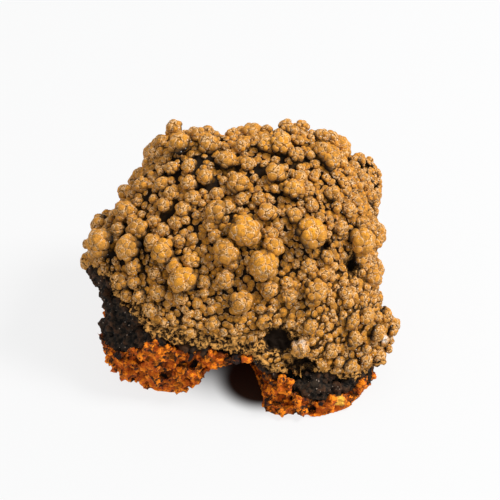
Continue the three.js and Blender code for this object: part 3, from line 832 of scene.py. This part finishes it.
def mixNode(tree, factor, low, high):
    mix = tree.nodes.new("ShaderNodeMix")
    mix.data_type = "RGBA"
    for socket, value in ((mix.inputs[0], factor), (mix.inputs[6], low), (mix.inputs[7], high)):
        if isinstance(value, bpy.types.NodeSocket):
            tree.links.new(value, socket)
        else:
            socket.default_value = value
    return mix.outputs[2]


def mathNode(tree, operation, a, b=0.0, clamp=False):
    node = tree.nodes.new("ShaderNodeMath")
    node.operation = operation
    node.use_clamp = clamp
    for socket, value in ((node.inputs[0], a), (node.inputs[1], b)):
        if isinstance(value, bpy.types.NodeSocket):
            tree.links.new(value, socket)
        else:
            socket.default_value = value
    return node.outputs[0]


def times(tree, a, b):
    return mathNode(tree, "MULTIPLY", a, b)


def rangeNode(tree, value, low, high, toLow=0.0, toHigh=1.0):
    node = tree.nodes.new("ShaderNodeMapRange")
    node.interpolation_type = "SMOOTHSTEP"
    tree.links.new(value, node.inputs[0])
    for index, number in ((1, low), (2, high), (3, toLow), (4, toHigh)):
        node.inputs[index].default_value = number
    return node.outputs[0]


def makeMottle():
    # Patches between two colours, with a height for the bump
    tree, given, out = newGroup(
        "stoneMottle",
        [("Patch Scale", "NodeSocketFloat", 300), ("Dark", "NodeSocketColor", (0, 0, 0, 1)),
         ("Light", "NodeSocketColor", (1, 1, 1, 1)), ("Spread", "NodeSocketFloat", 0.2)],
        [("Color", "NodeSocketColor"), ("Height", "NodeSocketFloat")],
    )
    where = tree.nodes.new("ShaderNodeTexCoord").outputs["Object"]
    noise = tree.nodes.new("ShaderNodeTexNoise")
    noise.inputs["Detail"].default_value = 6
    noise.inputs["Roughness"].default_value = 0.65
    tree.links.new(where, noise.inputs["Vector"])
    tree.links.new(given.outputs["Patch Scale"], noise.inputs["Scale"])
    centred = mathNode(tree, "SUBTRACT", noise.outputs[0], 0.5)
    spread = mathNode(tree, "DIVIDE", centred, given.outputs["Spread"])
    share = mathNode(tree, "ADD", spread, 0.5, clamp=True)
    colour = mixNode(tree, share, given.outputs["Dark"], given.outputs["Light"])
    tree.links.new(colour, out.inputs["Color"])
    tree.links.new(noise.outputs[0], out.inputs["Height"])
    return tree


def makeSpecks():
    # Fine bright specks painted into the colour: painted glints, as of crystal faces that catch the
    # light
    tree, given, out = newGroup(
        "paintedGlints",
        [("Speck Scale", "NodeSocketFloat", 3000), ("Amount", "NodeSocketFloat", 0.2)],
        [("Mask", "NodeSocketFloat")],
    )
    where = tree.nodes.new("ShaderNodeTexCoord").outputs["Object"]
    cells = tree.nodes.new("ShaderNodeTexVoronoi")
    tree.links.new(where, cells.inputs["Vector"])
    tree.links.new(given.outputs["Speck Scale"], cells.inputs["Scale"])
    split = tree.nodes.new("ShaderNodeSeparateColor")
    tree.links.new(cells.outputs["Color"], split.inputs[0])
    bright = mathNode(tree, "LESS_THAN", split.outputs[0], given.outputs["Amount"])
    core = mathNode(tree, "LESS_THAN", cells.outputs["Distance"], 0.35)
    tree.links.new(times(tree, bright, core), out.inputs["Mask"])
    return tree


mottleGroup = makeMottle()
specksGroup = makeSpecks()
# Greys for patches that are used as a mask
none, faint, full = (0, 0, 0, 1), (0.1, 0.1, 0.1, 1), (1, 1, 1, 1)


def mottle(tree, scale, dark, light, spread=0.2):
    node = tree.nodes.new("ShaderNodeGroup")
    node.node_tree = mottleGroup
    given = {"Patch Scale": scale, "Dark": dark, "Light": light, "Spread": spread}
    for label, value in given.items():
        node.inputs[label].default_value = value
    return node.outputs["Color"], node.outputs["Height"]


def specks(tree, scale, amount):
    node = tree.nodes.new("ShaderNodeGroup")
    node.node_tree = specksGroup
    node.inputs["Speck Scale"].default_value = scale
    node.inputs["Amount"].default_value = amount
    return node.outputs["Mask"]


def attribute(tree, name):
    node = tree.nodes.new("ShaderNodeAttribute")
    node.attribute_name = name
    return node.outputs["Fac"]


def newMaterial(name):
    material = bpy.data.materials.new(name)
    material.use_nodes = True
    return material, material.node_tree, material.node_tree.nodes["Principled BSDF"]


def bumpInto(tree, shader, height, distance):
    bump = tree.nodes.new("ShaderNodeBump")
    bump.inputs["Strength"].default_value = 1
    bump.inputs["Distance"].default_value = distance * mm
    tree.links.new(height, bump.inputs["Height"])
    tree.links.new(bump.outputs[0], shader.inputs["Normal"])


# The crust's colours, linear
crustFinish = {
    "olive": (0.19, 0.078, 0.005, 1),
    "brown": (0.83, 0.320, 0.015, 1),
    "tan": (0.80, 0.345, 0.042, 1),
    # Partly the crust's real frosting, partly a painted highlight on the rims of the caps
    "frostAndRimHighlight": (0.95, 0.70, 0.42, 1),
    "gold": (1, 0.40, 0.006, 1),
    "grit": (0.20, 0.075, 0.004, 1),
    # Painted shade: the dark line along the creases between the caps
    "creaseShade": (0.050, 0.018, 0.002, 1),
    # Near black: painted shade in the recesses and under the knobs, and the crust's own black inside the
    # hollows
    "deepAndShaded": (0.009, 0.004, 0.001, 1),
    "white": (0.9, 0.86, 0.78, 1),
    "porous": (0.68, 0.33, 0.08, 1),
    "pore": (0.022, 0.009, 0.002, 1),
}


def finishKnobs():
    material, tree, shader = newMaterial("mottramiteKnobFinish")
    patches = mottle(tree, 1500, crustFinish["olive"], crustFinish["brown"], 0.16)[0]
    lighter = mathNode(tree, "ADD", attribute(tree, "tint"), attribute(tree, "own"))
    tinted = mixNode(tree, times(tree, lighter, 0.4), patches, crustFinish["tan"])
    goldPatch = mottle(tree, 1100, faint, full, 0.12)[0]
    goldShare = times(tree, attribute(tree, "gold"), goldPatch)
    golden = mixNode(tree, goldShare, tinted, crustFinish["gold"])
    grain, grainHeight = mottle(tree, 3300, faint, full, 0.1)
    gritty = mixNode(tree, grain, crustFinish["grit"], golden)
    golden = mixNode(tree, 0.35, golden, gritty)
    wobble = times(tree, mathNode(tree, "SUBTRACT", grainHeight, 0.5), 0.3)
    clear = mathNode(tree, "ADD", attribute(tree, "clear"), wobble)  # millimetres from a crease
    # Painted shade: a dark line along the creases where the caps of a knob meet
    creaseShade = rangeNode(tree, clear, -0.05, 0.05, 0.75, 0)
    creaseShaded = mixNode(tree, creaseShade, golden, crustFinish["creaseShade"])
    # A pale rim just beside each crease: partly the crust's real frosting, partly a painted highlight
    rim = times(tree, rangeNode(tree, clear, 0, 0.06), rangeNode(tree, clear, 0.07, 0.17, 1, 0.06))
    frostAndHighlightShare = times(tree, times(tree, rim, grain), 0.7)
    frostedAndLit = mixNode(tree, frostAndHighlightShare, creaseShaded, crustFinish["frostAndRimHighlight"])
    # Pale tips: real whitish frosting on one knob, a painted highlight on the other
    paleAndGlintShare = times(tree, attribute(tree, "paleAndGlint"), goldPatch)
    frostedAndLit = mixNode(tree, paleAndGlintShare, frostedAndLit, crustFinish["white"])
    # Painted shade: the lower side of each knob, by its own up axis, darkens to near black
    gapShade = rangeNode(tree, attribute(tree, "knobUp"), -0.32, 0.38, 1, 0)
    deepAndShaded = mixNode(tree, gapShade, frostedAndLit, crustFinish["deepAndShaded"])
    # Painted glints: white specks in the base colour
    glints = times(tree, specks(tree, 3200, 0.03), 0.8)
    tree.links.new(mixNode(tree, glints, deepAndShaded, crustFinish["white"]), shader.inputs["Base Color"])
    tree.links.new(rangeNode(tree, grainHeight, 0.35, 0.65, 0.5, 0.85), shader.inputs["Roughness"])
    shader.inputs["Specular IOR Level"].default_value = 0.25
    bumpInto(tree, shader, grainHeight, 0.45)
    return material


def finishSkin():
    material, tree, shader = newMaterial("mottramiteSkinFinish")
    patches = mottle(tree, 1300, crustFinish["deepAndShaded"], crustFinish["olive"], 0.16)[0]
    # Painted shade on the uncovered skin between the knobs, and the real black inside the hollows
    dark = mixNode(tree, attribute(tree, "shadeAndHollows"), patches, crustFinish["deepAndShaded"])
    edge, edgeHeight = mottle(tree, 1300, crustFinish["pore"], crustFinish["porous"], 0.1)
    margin = mixNode(tree, attribute(tree, "broken"), dark, edge)
    # Painted shade in the recesses of the margin
    deepAndShaded = mixNode(tree, attribute(tree, "gapShade"), margin, crustFinish["deepAndShaded"])
    tree.links.new(deepAndShaded, shader.inputs["Base Color"])
    shader.inputs["Roughness"].default_value = 0.85
    shader.inputs["Specular IOR Level"].default_value = 0.15
    bumpInto(tree, shader, edgeHeight, 0.3)
    return material


oxideFinish = {
    "soot": (0.004, 0.003, 0.002, 1),
    "char": (0.038, 0.024, 0.014, 1),
    "rust": (0.15, 0.048, 0.010, 1),
    # Painted glints: the colour of the bright specks that stand for sparkles on the oxide
    "bronzeGlint": (0.28, 0.21, 0.16, 1),
}


def finishOxide():
    material, tree, shader = newMaterial("blackOxideFinish")
    patches, height = mottle(tree, 1400, oxideFinish["soot"], oxideFinish["char"], 0.12)
    rusty = mottle(tree, 320, none, full, 0.08)[0]
    rustShare = times(tree, times(tree, rusty, attribute(tree, "top")), 0.3)
    rusted = mixNode(tree, rustShare, patches, oxideFinish["rust"])
    # Painted shade: the recesses darken to soot black
    deepAndShaded = mixNode(tree, attribute(tree, "gapShade"), rusted, oxideFinish["soot"])
    # Painted glints: bronze specks in the base colour
    bronzeGlint = specks(tree, 2600, 0.06)
    tree.links.new(mixNode(tree, bronzeGlint, deepAndShaded, oxideFinish["bronzeGlint"]), shader.inputs["Base Color"])
    shader.inputs["Roughness"].default_value = 0.8
    shader.inputs["Specular IOR Level"].default_value = 0.2
    bumpInto(tree, shader, height, 0.5)
    return material


gossanFinish = {
    "umber": (0.022, 0.006, 0.001, 1),
    "rust": (0.52, 0.088, 0.003, 1),
    "orange": (1, 0.26, 0.004, 1),
    "ochre": (0.95, 0.50, 0.06, 1),
    "deepAndShaded": (0.004, 0.001, 0.001, 1),
}


def finishGossan():
    material, tree, shader = newMaterial("gossanFinish")
    patches = mottle(tree, 480, gossanFinish["umber"], gossanFinish["rust"], 0.09)[0]
    bright, brightHeight = mottle(tree, 1000, none, full, 0.08)
    top = rangeNode(tree, attribute(tree, "top"), 0, 1, 0.3, 1)
    crumbs = mixNode(tree, times(tree, bright, top), patches, gossanFinish["orange"])
    ochre = mixNode(tree, attribute(tree, "ochre"), crumbs, gossanFinish["ochre"])
    # Painted shade: the recesses darken to near black
    deepAndShaded = mixNode(tree, attribute(tree, "gapShade"), ochre, gossanFinish["deepAndShaded"])
    tree.links.new(deepAndShaded, shader.inputs["Base Color"])
    shader.inputs["Roughness"].default_value = 0.85
    shader.inputs["Specular IOR Level"].default_value = 0.3
    bumpInto(tree, shader, brightHeight, 0.5)
    return material


stage = {
    "floorSize": 4,  # metres, as all that follow
    "floorDrop": 0.00002,
    "floorColour": (0.10, 0.10, 0.10, 1),
    "worldColour": (0.96, 0.98, 1, 1),
    "worldStrength": 0.73,
    "floorGlow": 0.81,  # the floor's own glow, evenly bright away from the specimen, fading out near it as a painted shadow
    # Between these distances from the specimen the glow rises: the painted shadow round it
    "glowFrom": 0.008,
    "glowFull": 0.022,
    "archShadowAt": (0.0044, -0.0128, 0),  # a painted shadow, dark brown, on the floor under the arch between the feet
    "archShadowColour": (0.040, 0.019, 0.012, 1),
    "archShadowFrom": 0.0062,
    "archShadowFull": 0.0106,
    "keyAzimuth": 86,  # the light's place round the specimen, from the front towards its right
    "keyElevation": 52,
    "keyDistance": 0.7,
    "keySize": 0.22,
    "keyPower": 5.4,
    "cameraDistance": 500,  # millimetres
    "lookAt": (2, 4, 0),  # U, V and W
    "lens": 180,
}


def setStage():
    bpy.ops.object.select_all(action="DESELECT")
    bpy.ops.mesh.primitive_plane_add(size=stage["floorSize"], location=(0, 0, -stage["floorDrop"]))
    floor = bpy.context.object
    floor.name = "floor"
    material, tree, shader = newMaterial("floorFinish")
    shader.inputs["Roughness"].default_value = 0.9
    shader.inputs["Specular IOR Level"].default_value = 0.1
    shader.inputs["Emission Color"].default_value = (1, 1, 1, 1)
    away = tree.nodes.new("ShaderNodeVectorMath")
    away.operation = "LENGTH"
    where = tree.nodes.new("ShaderNodeTexCoord").outputs["Object"]
    tree.links.new(where, away.inputs[0])
    far = away.outputs["Value"]
    # Painted shadow: the floor's glow fades out near the specimen
    glow = rangeNode(tree, far, stage["glowFrom"], stage["glowFull"], 0, stage["floorGlow"])
    arch = tree.nodes.new("ShaderNodeVectorMath")
    arch.operation = "DISTANCE"
    arch.inputs[1].default_value = stage["archShadowAt"]
    tree.links.new(where, arch.inputs[0])
    # Painted shadow under the arch: dark brown colour, and the floor's glow cut off
    shade = rangeNode(tree, arch.outputs["Value"], stage["archShadowFrom"], stage["archShadowFull"])
    colour = mixNode(tree, shade, stage["archShadowColour"], stage["floorColour"])
    tree.links.new(colour, shader.inputs["Base Color"])
    tree.links.new(times(tree, glow, shade), shader.inputs["Emission Strength"])
    floor.data.materials.append(material)

    world = bpy.data.worlds.new("studio")
    world.use_nodes = True
    world.node_tree.nodes["Background"].inputs[0].default_value = stage["worldColour"]
    world.node_tree.nodes["Background"].inputs[1].default_value = stage["worldStrength"]
    bpy.context.scene.world = world

    azimuth, elevation = math.radians(stage["keyAzimuth"]), math.radians(stage["keyElevation"])
    level = math.cos(elevation)
    towards = Vector((math.sin(azimuth) * level, -math.cos(azimuth) * level, math.sin(elevation)))
    bpy.ops.object.light_add(type="AREA", location=towards * stage["keyDistance"])
    key = bpy.context.object
    key.name = "keyLight"
    key.rotation_euler = towards.to_track_quat("Z", "Y").to_euler()
    key.data.energy = stage["keyPower"]
    key.data.size = stage["keySize"]

    bpy.ops.object.camera_add()
    camera = bpy.context.object
    camera.name = "photoCamera"
    u, v, w = stage["lookAt"]
    turn = Matrix((faceRight, faceUp, faceOut)).transposed().to_4x4()
    camera.matrix_world = Matrix.Translation(onFace(u, v, w + stage["cameraDistance"])) @ turn
    camera.data.lens = stage["lens"]
    camera.data.clip_start = 0.01
    bpy.context.scene.camera = camera
    bpy.context.scene.view_settings.view_transform = "Standard"


def handOver(thing, node, material):
    selectOnly(thing)
    bpy.ops.object.shade_smooth()
    thing.data.materials.clear()
    thing.data.materials.append(material)
    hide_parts(node)
    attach(thing, "root")
    lowest = vertexArrays(thing)[0][:, 2].min()
    print(thing.name, "triangles", triangleCount(thing), "lowest point, mm", round(float(lowest), 3))


setStage()
print("stage set")
knobPieces = growKnobs()
knobFinish = finishKnobs()
handOver(growSkin(), "mottramite_crust", finishSkin())
for knobPiece in knobPieces:
    handOver(knobPiece, "mottramite_crust", knobFinish)
handOver(breakOxide(), "black_oxide_layer", finishOxide())
handOver(breakGossan(), "gossan_matrix", finishGossan())
